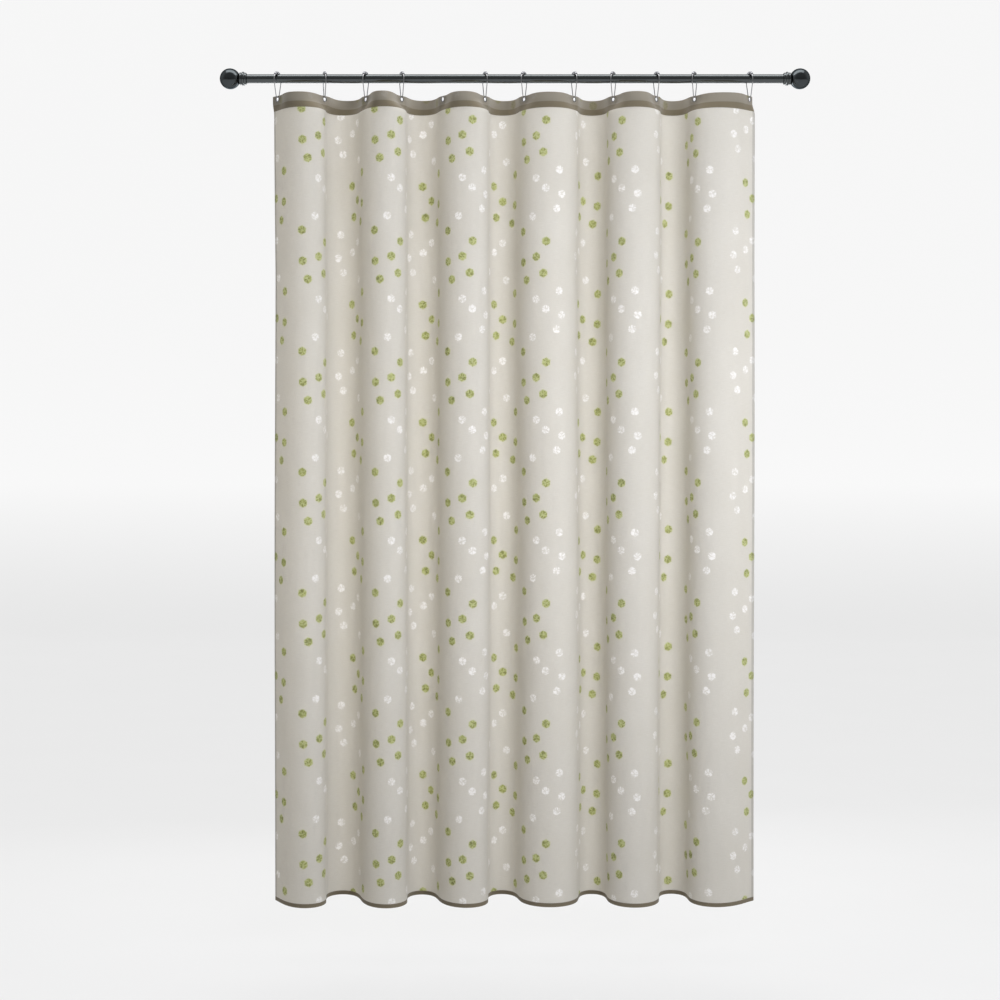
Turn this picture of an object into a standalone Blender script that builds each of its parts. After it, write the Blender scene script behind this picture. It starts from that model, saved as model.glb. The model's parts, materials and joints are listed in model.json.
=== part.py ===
"""Shower curtain hung from a ball-ended rod on eleven roller rings.

Metres, +Z up, +X along the rod, the outer face of the cloth towards -Y.
The origin is on the rod's axis at the middle of its length.
"""

import math

import bpy
import bmesh
import numpy as np
from mathutils import Vector

# ---------------------------------------------------------------- driving sizes
MM = 0.001

ROD_D = 20.0 * MM            # outside diameter of the rod tube
ROD_WALL = 1.2 * MM          # wall of the rod tube
ROD_SPAN = 1194.0 * MM       # bare tube between the two collars

COLLAR_L = 15.7 * MM         # length of each end collar
COLLAR_D = 31.0 * MM         # diameter over a collar's ribs
BALL_D = 46.0 * MM           # diameter of each end ball
SPIGOT_L = 14.0 * MM         # length of a ball's spigot inside the tube
SPIGOT_TAPER = 0.6 * MM      # lead-in at the spigot's tip

CLOTH_W = 1.800              # flat width of the curtain
CLOTH_H = 1.800              # flat height of the curtain
CLOTH_T = 0.8 * MM           # thickness of one layer as modelled
HEM_T = 1.0 * MM             # thickness of the folded hems as modelled
TOP_HEM_H = 33.0 * MM        # height of the top hem
FOOT_HEM_H = 9.0 * MM        # height of the bottom hem
SIDE_MARGIN = 17.5 * MM      # first and last eyelet to the side edges, along the cloth
CREST_GAP = 0.95 * MM        # slit between two panels along a fold's crest
EYELET_REACH = 0.22          # how far the cloth keeps an eyelet's direction, as a share of a half fold
CREST_REACH = 0.66           # how far the cloth keeps a crest's direction, as a share of half a fold's width
PLAN_STEPS = 5               # flat facets in each half of a panel

EYELET_HOLE_R = 4.0 * MM     # clear hole of an eyelet
EYELET_R = 6.25 * MM         # outer radius of an eyelet
EYELET_DROP = 45.3 * MM      # rod axis down to an eyelet's centre
EYELET_EDGE = 7.4 * MM       # eyelet's centre up to the cloth's top edge
EYELET_FLAT = 8.0 * MM       # half length of the flat cloth around an eyelet

WIRE_R = 1.0 * MM            # radius of a ring's wire
ROLLER_R = 3.25 * MM         # radius of a ring's rollers
ROLLER_L = 6.2 * MM          # pitch of the rollers along the wire
ROLLERS = 5                  # rollers on one ring, modelled as one ribbed sleeve
RING_ARC_R = 18.0 * MM       # radius of a ring's top arc
RING_FOOT_R = 9.0 * MM       # radius of a ring's bottom arc

CLEAR = 0.25 * MM            # running clearance between separate pieces
HANG_GAP = 0.4 * MM          # wire to the top of an eyelet's hole
ROUND = 40.0                 # faces that meet at less than this, degrees, are shaded as one round face
WIRE_ROUND = 65.0            # the same for the six-sided wires and rollers

# eyelet positions along the rod, as a share of the bare tube from its middle
EYELET_AT = (-0.4426, -0.3549, -0.2783, -0.2111, -0.1345, -0.0560,
             0.0168, 0.1102, 0.1830, 0.2633, 0.3343, 0.4370)
# how far the cloth turns away from the rod at each eyelet, degrees
CLOTH_YAW = (46.0, 50.0, 51.0, 50.0, 51.0, 52.0, 48.0, 48.0, 48.0, 49.0, 51.0, 51.0)
# how far each ring turns away from square to the rod, degrees; None is an eyelet with no ring
RING_YAW = (17.0, 15.5, 16.0, 18.5, None, 17.0, 20.0, 17.0, 21.0, 15.5, 22.0, 15.0)

# ---------------------------------------------------------------- derived sizes
ROD_R = ROD_D / 2
COUNT = len(EYELET_AT)
EYELET_X = [share * ROD_SPAN for share in EYELET_AT]
PITCH = (CLOTH_W - 2 * SIDE_MARGIN) / (COUNT - 1)
CLOTH_TOP = EYELET_EDGE - EYELET_DROP
CLOTH_FOOT = CLOTH_TOP - CLOTH_H
RING_TOP = ROD_R + CLEAR + ROLLER_R
RING_ARC_Z = RING_TOP - RING_ARC_R
WIRE_FOOT = -EYELET_DROP + EYELET_HOLE_R - HANG_GAP - WIRE_R
RING_FOOT_Z = WIRE_FOOT + RING_FOOT_R
COLLAR_IN = ROD_SPAN / 2
COLLAR_OUT = COLLAR_IN + COLLAR_L
TUBE_END = COLLAR_OUT - 1.5 * MM
ROLLER_HALF = ROLLERS * ROLLER_L / RING_ARC_R / 2   # half the angle the rollers cover
SLEEVE_STEPS = 8             # bends in the roller sleeve's bore
EYELET_NECK_R = EYELET_HOLE_R + 0.75 * MM
CLOTH_HOLE_R = EYELET_NECK_R + CLEAR


# ---------------------------------------------------------------- materials
def material(name, colour, metallic, roughness):
    mat = bpy.data.materials.new(name)
    mat.use_nodes = True
    shader = mat.node_tree.nodes["Principled BSDF"]
    shader.inputs["Base Color"].default_value = (*colour, 1.0)
    shader.inputs["Metallic"].default_value = metallic
    shader.inputs["Roughness"].default_value = roughness
    return mat


def add_object(name, bm, mat, pivot=(0.0, 0.0, 0.0), round_below=ROUND):
    """A named object from world-space geometry, with its origin on the axis it moves about."""
    bmesh.ops.recalc_face_normals(bm, faces=bm.faces[:])
    bmesh.ops.translate(bm, verts=bm.verts[:], vec=-Vector(pivot))
    mesh = bpy.data.meshes.new(name)
    bm.to_mesh(mesh)
    bm.free()
    mesh.shade_smooth()
    mesh.set_sharp_from_angle(angle=math.radians(round_below))
    obj = bpy.data.objects.new(name, mesh)
    obj.location = pivot
    bpy.context.scene.collection.objects.link(obj)
    if mat is not None:
        mesh.materials.append(mat)
    return obj


# ---------------------------------------------------------------- shape helpers
def ring_grid(rows, close_rows, cap_ends):
    """A skin over rows of points. Each row is a closed loop of the same length."""
    bm = bmesh.new()
    made = [[bm.verts.new(p) for p in row] for row in rows]
    count = len(made)
    last = count if close_rows else count - 1
    for i in range(last):
        a, b = made[i], made[(i + 1) % count]
        n = len(a)
        for j in range(n):
            bm.faces.new((a[j], a[(j + 1) % n], b[(j + 1) % n], b[j]))
    if cap_ends and not close_rows:
        bm.faces.new(made[0])
        bm.faces.new(list(reversed(made[-1])))
    return bm


def spokes(axis, segments):
    """Unit directions round an axis, the first one upwards."""
    up = Vector((0.0, 0.0, 1.0))
    third = axis.cross(up)
    turns = [2 * math.pi * k / segments for k in range(segments)]
    return [up * math.cos(turn) + third * math.sin(turn) for turn in turns]


def lathe(name, profile, centre, axis, segments, mat, pivot=(0.0, 0.0, 0.0)):
    """A closed profile of (along axis, radius) pairs turned about a level axis."""
    axis = Vector(axis).normalized()
    rows = []
    for out in spokes(axis, segments):
        rows.append([Vector(centre) + axis * a + out * r for a, r in profile])
    return add_object(name, ring_grid(rows, True, False), mat, pivot)


def solid_lathe(name, profile, centre, axis, segments, mat):
    """A profile of (along axis, radius) pairs turned about a level axis and capped flat at both ends."""
    axis = Vector(axis).normalized()
    rows = []
    for a, r in profile:
        rows.append([Vector(centre) + axis * a + out * r for out in spokes(axis, segments)])
    return add_object(name, ring_grid(rows, False, True), mat)


def section_rows(points, tangents, across, radii, sides):
    """Round sections along a plane path; across is the path plane's own normal."""
    rows = []
    for p, t, r in zip(points, tangents, radii):
        outward = t.cross(across).normalized()
        row = []
        for k in range(sides):
            turn = 2 * math.pi * (k + 0.5) / sides
            row.append(p + outward * (r * math.cos(turn)) + across * (r * math.sin(turn)))
        rows.append(row)
    return rows


# ---------------------------------------------------------------- the cloth's plan
def bezier(a, b, c, d, count):
    t = np.linspace(0.0, 1.0, count)[:, None]
    return ((1 - t) ** 3 * a + 3 * (1 - t) ** 2 * t * b
            + 3 * (1 - t) * t ** 2 * c + t ** 3 * d)


def half_fold(half_chord, depth, yaw, count=160):
    """From an eyelet at the origin to a fold's crest at (half_chord, depth)."""
    lean = np.array([math.cos(yaw), math.sin(yaw)])
    start = lean * EYELET_FLAT
    crest = np.array([half_chord, depth])
    span = np.linalg.norm(crest - start)
    curve = bezier(start, start + lean * EYELET_REACH * span,
                   crest - np.array([CREST_REACH * half_chord, 0.0]), crest, count)
    return np.vstack([[0.0, 0.0], curve])


def path_length(points):
    return float(np.linalg.norm(np.diff(points, axis=0), axis=1).sum())


def fold_depth(chord, yaw_a, yaw_b):
    """The depth at which the cloth between two eyelets has its flat length."""
    low, high = 0.0, PITCH
    for _ in range(60):
        mid = (low + high) / 2
        total = (path_length(half_fold(chord / 2, mid, yaw_a))
                 + path_length(half_fold(chord / 2, mid, yaw_b)))
        if total < PITCH:
            low = mid
        else:
            high = mid
    return (low + high) / 2


def thin_out(points, pieces):
    """Keep the points that share length and turning evenly over the pieces."""
    steps = np.diff(points, axis=0)
    lengths = np.linalg.norm(steps, axis=1)
    angles = np.unwrap(np.arctan2(steps[:, 1], steps[:, 0]))
    turning = np.abs(np.diff(angles, prepend=angles[0]))
    share = 0.35 * lengths / lengths.sum() + 0.65 * turning / max(turning.sum(), 1e-9)
    reach = np.concatenate([[0.0], np.cumsum(share)])
    targets = np.linspace(0.0, reach[-1], pieces + 1)
    return np.array([[np.interp(t, reach, points[:, i]) for i in (0, 1)] for t in targets])


YAWS = [math.radians(a) for a in CLOTH_YAW]
CHORDS = [EYELET_X[k + 1] - EYELET_X[k] for k in range(COUNT - 1)]
DEPTHS = [fold_depth(CHORDS[k], YAWS[k], YAWS[k + 1]) for k in range(COUNT - 1)]


def crest_side(k):
    """-1 for a fold that stands out to the front after eyelet k, +1 for one to the back."""
    return -1 if k % 2 == 0 else 1


def panel_pivot(k):
    """The upright axis panel k turns about: its own eyelet for the first, the crest before it for the rest."""
    if k == 0:
        return Vector((EYELET_X[0], 0.0, 0.0))
    return Vector(((EYELET_X[k - 1] + EYELET_X[k]) / 2, crest_side(k - 1) * DEPTHS[k - 1], 0.0))


def trimmed(points, end_x):
    """Cut a half fold off just short of its crest, leaving half of the crest's slit."""
    keep = points[points[:, 0] < end_x - 1e-6]
    y = np.interp(end_x, points[:, 0], points[:, 1])
    return np.vstack([keep, [end_x, y]])


def panel_plan(k):
    """Plan points of panel k from its left end to its right end, through its eyelet."""
    x, yaw = EYELET_X[k], YAWS[k]
    right_side = crest_side(k)
    if k < COUNT - 1:
        half = half_fold(CHORDS[k] / 2, DEPTHS[k], yaw)
        right = trimmed(half[1:], CHORDS[k] / 2 - CREST_GAP / 2)
        right = thin_out(right, PLAN_STEPS)
    else:
        lean = np.array([math.cos(yaw), math.sin(yaw)])
        start = lean * EYELET_FLAT
        rest = SIDE_MARGIN - EYELET_FLAT
        right = bezier(start, start + lean * rest * 0.33, start + lean * rest * 0.55
                       + np.array([0.0, 0.12 * rest]),
                       start + np.array([0.3 * rest, 0.95 * rest]), 4)
    if k > 0:
        half = half_fold(CHORDS[k - 1] / 2, DEPTHS[k - 1], yaw)
        left = trimmed(half[1:], CHORDS[k - 1] / 2 - CREST_GAP / 2)
        left = thin_out(left, PLAN_STEPS)
    else:
        lean = np.array([math.cos(yaw), math.sin(yaw)])
        start = lean * EYELET_FLAT
        left = np.array([start, lean * SIDE_MARGIN])
    left_world = [(x - px, -right_side * py) for px, py in left[::-1]]
    right_world = [(x + px, right_side * py) for px, py in right]
    return np.array(left_world + right_world)


def offset_plan(plan, distance):
    """Shift a plan line sideways by a distance, mitred at its corners."""
    steps = np.diff(plan, axis=0)
    steps /= np.linalg.norm(steps, axis=1)[:, None]
    normals = np.stack([-steps[:, 1], steps[:, 0]], axis=1)
    out = []
    for i in range(len(plan)):
        a = normals[max(i - 1, 0)]
        b = normals[min(i, len(normals) - 1)]
        m = a + b
        m /= np.linalg.norm(m)
        out.append(plan[i] + m * distance / max(float(m @ a), 0.3))
    return np.array(out)


def cloth_panel(name, k, mat):
    plan = panel_plan(k)
    thin, thick = CLOTH_T / 2, HEM_T / 2
    rows = [(CLOTH_FOOT, thick), (CLOTH_FOOT + FOOT_HEM_H, thick),
            (CLOTH_FOOT + FOOT_HEM_H, thin), (CLOTH_TOP - TOP_HEM_H, thin),
            (CLOTH_TOP - TOP_HEM_H, thick), (CLOTH_TOP, thick)]
    loops = []
    for z, half in rows:
        front = offset_plan(plan, -half)
        back = offset_plan(plan, half)
        loop = [Vector((p[0], p[1], z)) for p in front]
        loop += [Vector((p[0], p[1], z)) for p in back[::-1]]
        loops.append(loop)
    panel = add_object(name, ring_grid(loops, False, True), mat, panel_pivot(k))
    cutter = solid_lathe(
        name + "_hole", [(-6 * MM, CLOTH_HOLE_R), (6 * MM, CLOTH_HOLE_R)],
        eyelet_centre(k), eyelet_axis(k), 16, None)
    cutter.hide_render = True
    cutter.display_type = "WIRE"
    hole = panel.modifiers.new("eyelet hole", "BOOLEAN")
    hole.operation = "DIFFERENCE"
    hole.solver = "EXACT"
    hole.object = cutter
    return panel


# ---------------------------------------------------------------- eyelets and rings
def eyelet_centre(k):
    return Vector((EYELET_X[k], 0.0, -EYELET_DROP))


def eyelet_axis(k):
    """Square to the cloth at eyelet k, towards the front."""
    yaw = YAWS[k] * crest_side(k)
    return Vector((math.sin(yaw), -math.cos(yaw), 0.0))


def eyelet(name, k, mat):
    face = HEM_T / 2 + 0.2 * MM
    rim = face + 0.4 * MM
    profile = [(0.0, EYELET_HOLE_R), (rim, EYELET_HOLE_R + 0.8 * MM),
               (rim, EYELET_R - 0.35 * MM), (face, EYELET_R),
               (face, EYELET_NECK_R), (-face, EYELET_NECK_R),
               (-face, EYELET_R), (-rim, EYELET_R - 0.35 * MM),
               (-rim, EYELET_HOLE_R + 0.8 * MM)]
    return lathe(name, profile, eyelet_centre(k), eyelet_axis(k), 12, mat, panel_pivot(k))


def ring_frame(k):
    """The ring's place on the rod's axis, its own sideways direction and its plane's normal."""
    turn = math.radians(RING_YAW[k]) * crest_side(k)
    out = Vector((math.sin(turn), -math.cos(turn), 0.0))
    return Vector((EYELET_X[k], 0.0, 0.0)), out, Vector((math.cos(turn), math.sin(turn), 0.0))


def arc_point(a):
    """Point and tangent (sideways, up) on the ring's top arc, at an angle from straight up."""
    return ((RING_ARC_R * math.sin(a), RING_ARC_Z + RING_ARC_R * math.cos(a)),
            (math.cos(a), -math.sin(a)))


def ring_path():
    """Points and tangents (sideways, up) round the pear-shaped ring, starting at the top."""
    slope = math.asin((RING_ARC_R - RING_FOOT_R) / (RING_ARC_Z - RING_FOOT_Z))
    ends = math.pi / 2 + slope
    over = list(np.linspace(-ROLLER_HALF, ROLLER_HALF, SLEEVE_STEPS + 1))
    side = list(np.linspace(ROLLER_HALF, ends, 4))[1:]
    angles = [-a for a in side[::-1]] + over + side
    path = [arc_point(a) for a in angles]
    for a in np.linspace(ends, 2 * math.pi - ends, 8):
        path.append(((RING_FOOT_R * math.sin(a), RING_FOOT_Z + RING_FOOT_R * math.cos(a)),
                     (math.cos(a), -math.sin(a))))
    return path


def place(path, centre, out):
    up = Vector((0, 0, 1))
    points = [centre + out * p[0] + up * p[1] for p, _ in path]
    tangents = [out * t[0] + up * t[1] for _, t in path]
    return points, tangents


def ring(name, k, mat):
    centre, out, normal = ring_frame(k)
    points, tangents = place(ring_path(), centre, out)
    rows = section_rows(points, tangents, normal, [WIRE_R] * len(points), 6)
    return add_object(name, ring_grid(rows, True, False), mat, centre, WIRE_ROUND)


def roller_sleeve(name, k, mat):
    """The row of rollers over the rod: a ribbed sleeve with a bore for the wire."""
    centre, out, normal = ring_frame(k)
    outer, radii = [], []
    step = 2 * ROLLER_HALF / ROLLERS
    for i in range(ROLLERS):
        start = -ROLLER_HALF + i * step
        for share, radius in ((0.0, 0.68), (0.3, 1.0), (0.7, 1.0)):
            outer.append(arc_point(start + share * step))
            radii.append(ROLLER_R * radius)
    outer.append(arc_point(ROLLER_HALF))
    radii.append(ROLLER_R * 0.68)
    points, tangents = place(outer, centre, out)
    rows = section_rows(points, tangents, normal, radii, 6)
    inner = [arc_point(a) for a in np.linspace(ROLLER_HALF, -ROLLER_HALF, SLEEVE_STEPS + 1)]
    points, tangents = place(inner, centre, out)
    bore = section_rows(points, [-t for t in tangents], normal,
                        [WIRE_R + CLEAR] * len(points), 6)
    half = len(bore[0]) // 2
    turned = []
    for row in bore:
        flipped = [row[(half - 1 - j) % len(row)] for j in range(len(row))]
        turned.append(flipped)
    return add_object(name, ring_grid(rows + turned, True, False), mat, centre, WIRE_ROUND)


# ---------------------------------------------------------------- the rod's parts
def rod_tube(mat):
    end, inner = TUBE_END, ROD_R - ROD_WALL
    profile = [(-end, inner), (-end, ROD_R), (end, ROD_R), (end, inner)]
    return lathe("rod_tube", profile, (0, 0, 0), (1, 0, 0), 24, mat)


def collar(name, side, mat):
    bore, r, length = ROD_R + CLEAR, COLLAR_D / 2, COLLAR_L
    groove = r - 2.2 * MM
    profile = [(0.0, bore), (0.0, ROD_R + 2.6 * MM), (0.12 * length, ROD_R + 3.4 * MM),
               (0.22 * length, groove), (0.30 * length, groove), (0.36 * length, r - 0.5 * MM),
               (0.44 * length, r), (0.56 * length, r), (0.64 * length, r - 0.5 * MM),
               (0.70 * length, groove), (0.80 * length, groove),
               (0.88 * length, groove + 0.9 * MM), (length, groove + 0.2 * MM), (length, bore)]
    return lathe(name, profile, (side * COLLAR_IN, 0, 0), (side, 0, 0), 20, mat)


def end_ball(name, side, mat):
    """A ball with a flat seat on the collar and a spigot inside the tube."""
    radius = BALL_D / 2
    seat = COLLAR_OUT + CLEAR
    seat_r = ROD_R - ROD_WALL / 2
    centre = seat + math.sqrt(max(radius ** 2 - seat_r ** 2, 1e-9))
    spigot_r = ROD_R - ROD_WALL - CLEAR
    tip = TUBE_END - SPIGOT_L
    profile = [(tip, spigot_r - SPIGOT_TAPER), (tip + SPIGOT_TAPER, spigot_r),
               (seat - 0.01 * MM, spigot_r)]
    start = math.asin(seat_r / radius)
    for a in np.linspace(start, math.pi - 0.12, 11):
        profile.append((centre - radius * math.cos(a), radius * math.sin(a)))
    return solid_lathe(name, profile, (0, 0, 0), (side, 0, 0), 24, mat)


# ---------------------------------------------------------------- build
for old in list(bpy.data.objects):
    bpy.data.objects.remove(old, do_unlink=True)

bpy.context.scene.unit_settings.system = "METRIC"

gunmetal = material("rod gunmetal", (0.045, 0.05, 0.052), 0.9, 0.35)
ball_metal = material("ball gunmetal", (0.035, 0.038, 0.042), 0.9, 0.28)
chrome = material("ring chrome", (0.75, 0.75, 0.76), 1.0, 0.12)
roller_metal = material("roller chrome", (0.32, 0.32, 0.34), 1.0, 0.2)
eyelet_metal = material("eyelet dark chrome", (0.28, 0.28, 0.30), 1.0, 0.25)
cloth = material("curtain cloth", (0.66, 0.62, 0.54), 0.0, 0.85)

rod_tube(gunmetal)
for word, sign in (("left", -1), ("right", 1)):
    collar("collar_" + word, sign, gunmetal)
    end_ball("end_ball_" + word, sign, ball_metal)

for number in range(COUNT):
    tag = "%02d" % (number + 1)
    cloth_panel("curtain_panel_" + tag, number, cloth)
    eyelet("eyelet_" + tag, number, eyelet_metal)
    if RING_YAW[number] is not None:
        ring("ring_" + tag, number, chrome)
        roller_sleeve("rollers_" + tag, number, roller_metal)
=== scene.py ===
"""The looks of the shower curtain: one draped, printed cloth with its hems, eyelets, rings and rod."""
import json
import math

import bmesh
import bpy
import numpy as np
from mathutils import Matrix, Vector


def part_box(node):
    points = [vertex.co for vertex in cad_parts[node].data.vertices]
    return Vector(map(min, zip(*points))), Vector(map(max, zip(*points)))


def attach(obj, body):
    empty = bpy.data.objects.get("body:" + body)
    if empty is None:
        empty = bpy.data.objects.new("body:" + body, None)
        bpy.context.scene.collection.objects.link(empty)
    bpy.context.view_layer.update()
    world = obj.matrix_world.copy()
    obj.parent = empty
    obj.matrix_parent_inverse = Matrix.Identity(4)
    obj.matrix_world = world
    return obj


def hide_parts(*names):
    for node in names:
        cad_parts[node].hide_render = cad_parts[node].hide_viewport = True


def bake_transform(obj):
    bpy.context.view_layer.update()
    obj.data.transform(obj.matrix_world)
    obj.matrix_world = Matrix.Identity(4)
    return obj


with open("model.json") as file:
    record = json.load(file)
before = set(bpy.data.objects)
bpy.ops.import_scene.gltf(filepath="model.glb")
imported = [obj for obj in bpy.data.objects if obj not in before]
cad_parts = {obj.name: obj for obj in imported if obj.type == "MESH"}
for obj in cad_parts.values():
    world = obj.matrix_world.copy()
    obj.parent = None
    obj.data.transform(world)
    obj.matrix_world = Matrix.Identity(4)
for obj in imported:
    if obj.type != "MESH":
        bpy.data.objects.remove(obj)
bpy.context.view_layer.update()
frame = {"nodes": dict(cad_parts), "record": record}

record = frame["record"]
MM = 0.001

# ---------------------------------------------------------------- places, from the frame
JOINTS = {j["name"]: j for j in record["behaviour"]["joints"]}
COUNT = 12
TAGS = ["%02d" % (k + 1) for k in range(COUNT)]
HOOKED = [tag for tag in TAGS if "ring_" + tag in frame["nodes"]]


def middle(node):
    low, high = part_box(node)
    return (Vector(low) + Vector(high)) / 2


EYELETS = [middle("eyelet_" + tag) for tag in TAGS]
EYELET_X = [p.x for p in EYELETS]
EYELET_Z = EYELETS[0].z
CREASES = [JOINTS["crease_" + tag]["pos_m"] for tag in TAGS[:-1]]
CHORDS = [EYELET_X[k + 1] - EYELET_X[k] for k in range(COUNT - 1)]
CLOTH_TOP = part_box("curtain_panel_01")[1][2]
CLOTH_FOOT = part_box("curtain_panel_01")[0][2]
DROP = CLOTH_TOP - CLOTH_FOOT
ROD_R = (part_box("rod_tube")[1][2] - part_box("rod_tube")[0][2]) / 2
TUBE_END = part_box("rod_tube")[1][0]
COLLAR_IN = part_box("collar_right")[0][0]
COLLAR_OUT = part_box("collar_right")[1][0]
COLLAR_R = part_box("collar_right")[1][2]
BALL_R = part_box("end_ball_right")[1][2]
FLOOR_Z = CLOTH_FOOT - 0.131   # the curtain hangs clear of the floor

# ---------------------------------------------------------------- sizes of the cloth and the hooks
FLAT = 1.8                    # the cloth is cut square
SIDE_MARGIN = 17.5 * MM       # first eyelet to the side edge, along the cloth
EYELET_FLAT = 8.0 * MM        # half length of the flat cloth at an eyelet
SEAM_AT = 11.5 * MM           # strips of the cloth meet this far past an eyelet
CLOTH_YAW = (46.0, 50.0, 51.0, 50.0, 51.0, 52.0, 48.0, 48.0, 48.0, 49.0, 51.0, 51.0)
RING_YAW = (17.0, 15.5, 16.0, 18.5, None, 17.0, 20.0, 17.0, 21.0, 15.5, 22.0, 15.0)
YAWS = [math.radians(a) for a in CLOTH_YAW]

# below the hem the cloth's flanks swing clear of their eyelets, to the right where positive
FLANK_SHIFT = [s * MM for s in (0, 2, -10, 11, -5, 9, -6, 6, -10, 8, -7, 0)]
FLANK_LEAN = {1: 99.0, 3: 97.0, 5: 94.0}   # degrees; these flanks tuck in behind the front fold
FREE_FROM = 12.0 * MM         # the eyelets hold the cloth's line down to here
FREE_BELOW = 42.0 * MM        # and from here down it hangs in its own folds

TOP_HEM = 33.0 * MM           # height of the top hem
TURN_IN = 20.0 * MM           # the top hem's own turned-in layer starts this far down
FOOT_HEM = 9.0 * MM           # height of the bottom hem
SIDE_HEM = 8.0 * MM           # width of the side hems
FACE = 0.2 * MM               # half thickness of one layer of cloth
HEM_BACK = 0.75 * MM          # how far a hem stands behind the cloth's middle

# the print: a column of small brushed cubes, six green and six white, in metres on the flat cloth;
# every other column is the mirror image, half a repeat lower
REPEAT = 0.2665               # height of one repeat
COLUMN = 0.1487               # width of one column
COLUMN_START = 0.0723         # first column's left side, from the cloth's side edge
ROW_START = 0.303             # a column's first green cube, from the cloth's top edge
MOTIF_R = 9.4 * MM
MOTIF_ROOM = 1.25 * MOTIF_R   # a cube and its soft edge stay within this
ABOVE_ROW = 1.4 * MOTIF_R     # cloth kept free above the first cube of a repeat
GREEN_AT = ((0.0257, 0.0), (0.0877, 0.024), (0.0647, 0.0575),
            (0.0272, 0.068), (0.0812, 0.094), (0.0387, 0.108))
WHITE_AT = ((0.1177, 0.133), (0.0647, 0.151), (0.0867, 0.173),
            (0.1237, 0.186), (0.1117, 0.218), (0.0557, 0.235))

# the cloth's mesh
COLUMNS = 46                  # evenly spaced columns of each strip
CREST_COLUMNS = 13            # and more of them near a crest,
CREST_REACH = 16.0 * MM       # within this distance of it
ROWS = 110                    # evenly spaced rows
FREE_ROWS = 9                 # and more of them where the eyelets let the cloth go
BESIDE_EDGE = 0.3 * MM        # a hem's step lies between two columns or rows this far from its line
EDGE_ROUND = 0.35 * MM        # the sheet's top and bottom edges are rounded over this height
RIPPLE = 1.3 * MM             # how far the hanging cloth ripples off its plan

EYELET_CUT_R = 4.9 * MM       # hole in the cloth
EYELET_TUBE_R = 4.75 * MM     # the rivet's tube in that hole
EYELET_HOLE_R = 4.0 * MM
EYELET_R = 6.25 * MM
EYELET_RISE = 1.15 * MM       # how far the rivet's faces stand off the cloth's middle
WIRE_R = 1.0 * MM
ROLLER_R = 3.25 * MM
ROLLER_L = 6.2 * MM
ROLLERS = 5
RING_ARC_R = 18.0 * MM
RING_FOOT_R = 9.0 * MM
CLASP_AT = -0.62              # height of the wire's clasp, in ring radii above the arc's centre
CLASP_REACH = 1.6 * MM        # the clasp's half height
CLASP_THICK = 1.28            # and its thickness, in wire thicknesses
ROD_WALL = 1.2 * MM
SPIGOT_L = 14.0 * MM
SPIGOT_TAPER = 0.6 * MM
CLEAR = 0.25 * MM
HANG_GAP = 0.4 * MM
RING_ARC_Z = ROD_R + CLEAR + ROLLER_R - RING_ARC_R
RING_FOOT_Z = EYELET_Z + EYELET_HOLE_R - HANG_GAP - WIRE_R + RING_FOOT_R


# ---------------------------------------------------------------- mesh helpers
def add_mesh(name, verts, faces, mat, smooth_angle=30.0):
    mesh = bpy.data.meshes.new(name)
    mesh.from_pydata([tuple(v) for v in verts], [], faces)
    mesh.validate()
    mesh.update()
    obj = bpy.data.objects.new(name, mesh)
    bpy.context.scene.collection.objects.link(obj)
    mesh.materials.append(mat)
    mesh.shade_smooth()
    mesh.set_sharp_from_angle(angle=math.radians(smooth_angle))
    return obj


def face_outwards(obj):
    bm = bmesh.new()
    bm.from_mesh(obj.data)
    bmesh.ops.recalc_face_normals(bm, faces=bm.faces[:])
    bm.to_mesh(obj.data)
    bm.free()


def skin(rows, close_rows, cap_ends):
    """Vertices and faces over rows of points, each row a closed loop."""
    size = len(rows[0])
    verts = [p for row in rows for p in row]
    faces = []
    count = len(rows)
    for i in range(count if close_rows else count - 1):
        a, b = i * size, ((i + 1) % count) * size
        for j in range(size):
            k = (j + 1) % size
            faces.append((a + j, a + k, b + k, b + j))
    if cap_ends and not close_rows:
        faces.append(tuple(range(size)))
        faces.append(tuple(range((count - 1) * size, count * size))[::-1])
    return verts, faces


def join_on(verts, faces, more_verts, more_faces):
    """Add one piece's vertices and faces to the lists of a larger mesh."""
    base = len(verts)
    verts += more_verts
    faces += [tuple(base + n for n in face) for face in more_faces]


def turned(name, profile, centre, axis, segments, mat, closed=True, smooth_angle=30.0):
    """A profile of (along axis, radius) pairs turned about an axis: closed, a loop; open, a capped solid."""
    axis = Vector(axis).normalized()
    side = axis.orthogonal().normalized()
    third = axis.cross(side)
    spokes = [side * math.cos(2 * math.pi * k / segments) + third * math.sin(2 * math.pi * k / segments)
              for k in range(segments)]
    centre = Vector(centre)
    if closed:
        rows = [[centre + axis * a + out * r for a, r in profile] for out in spokes]
        verts, faces = skin(rows, True, False)
    else:
        rows = [[centre + axis * a + out * r for out in spokes] for a, r in profile]
        verts, faces = skin(rows, False, True)
    obj = add_mesh(name, verts, faces, mat, smooth_angle)
    face_outwards(obj)
    return obj


def rounded(profile, radius, steps):
    """Round the corners of a closed (along, radius) profile with short arcs."""
    out = []
    count = len(profile)
    for i in range(count):
        p = np.array(profile[i], float)
        a = np.array(profile[i - 1], float) - p
        b = np.array(profile[(i + 1) % count], float) - p
        la, lb = np.linalg.norm(a), np.linalg.norm(b)
        cut = min(radius, 0.4 * la, 0.4 * lb)
        start, end = p + a / la * cut, p + b / lb * cut
        for s in np.linspace(0.0, 1.0, steps):
            q = (1 - s) ** 2 * start + 2 * s * (1 - s) * p + s ** 2 * end
            out.append((float(q[0]), float(q[1])))
    return out


# ---------------------------------------------------------------- node helpers
def new_material(name):
    mat = bpy.data.materials.new(name)
    mat.use_nodes = True
    tree = mat.node_tree
    shader = tree.nodes["Principled BSDF"]
    return mat, tree, shader


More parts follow.
